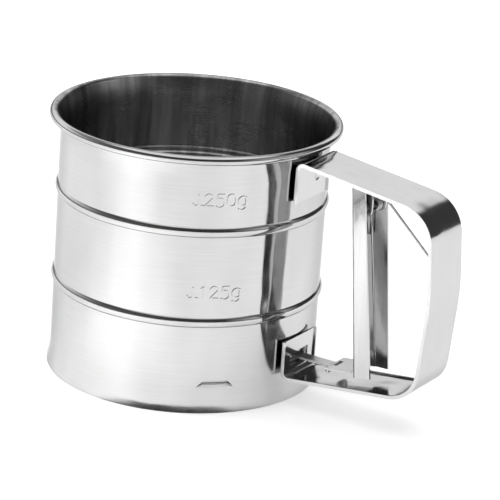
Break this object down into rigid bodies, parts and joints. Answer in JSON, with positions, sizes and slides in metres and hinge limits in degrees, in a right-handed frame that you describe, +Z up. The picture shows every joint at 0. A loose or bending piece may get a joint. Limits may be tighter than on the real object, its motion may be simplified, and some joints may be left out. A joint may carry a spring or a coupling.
{
  "type": "flour sifter",
  "caption": "Hand-held stainless flour sifter: open cup with a wire screen, a strip handle and a sprung trigger that swings a wire agitator.",
  "frame": {"origin": "on the cup's axis, in the plane of the cup's base edge", "axes": "+X towards the handle's grip, +Z up along the cup's axis"},
  "size_m": [0.1573, 0.1048, 0.095],
  "materials": {
    "polished_steel": "mirror-polished stainless sheet with faint drawing lines",
    "pressed_steel": "polished stainless pressing with a fine grain along its length",
    "plain_steel": "plain rolled stainless",
    "steel_mesh": "woven stainless wire",
    "spring_wire": "bright spring wire",
    "drawn_wire": "drawn stainless wire",
    "turned_steel": "turned stainless"
  },
  "bodies": {
    "cup": {"cup_body": "polished_steel", "handle": "pressed_steel", "screen_rim": "plain_steel", "screen_mesh": "steel_mesh", "lock_ring": "spring_wire", "bridge_bar": "plain_steel", "centre_pin": "turned_steel", "lower_spacer": "turned_steel", "hub_washer": "turned_steel", "pivot_bracket": "pressed_steel", "pivot_pin": "turned_steel", "torsion_spring": "spring_wire"},
    "trigger": {"trigger": "pressed_steel", "link_pin": "turned_steel"},
    "link": {"drive_link": "pressed_steel"},
    "agitator": {"agitator_hub": "plain_steel", "hub_bush": "turned_steel", "drive_lug": "turned_steel", "agitator_loop_1": "drawn_wire", "agitator_loop_2": "drawn_wire", "agitator_loop_3": "drawn_wire", "agitator_loop_4": "drawn_wire"}
  },
  "joints": [
    {"name": "trigger_squeeze", "type": "hinge", "parent": "cup", "child": "trigger", "pos_m": [0.0734, 0, 0.0776], "axis": [0, -1, 0], "range_deg": [0, 9], "stiffness_Nm_per_rad": 0.3, "springref_deg": -20.05, "deforming": ["torsion_spring"]},
    {"name": "link_swing", "type": "hinge", "parent": "trigger", "child": "link", "pos_m": [0.06435, 0, 0.01556], "axis": [0, -1, 0], "range_deg": [-9.5, 0.5]},
    {"name": "agitator_turn", "type": "hinge", "parent": "cup", "child": "agitator", "pos_m": [0, 0, 0.01385], "axis": [0, 0, 1], "range_deg": [-41.7, 0.5]}
  ],
  "couplings": [
    {"joint": "link_swing", "follows": "trigger_squeeze", "ratio": -1},
    {"joint": "agitator_turn", "follows": "trigger_squeeze", "ratio": -4.5609}
  ]
}
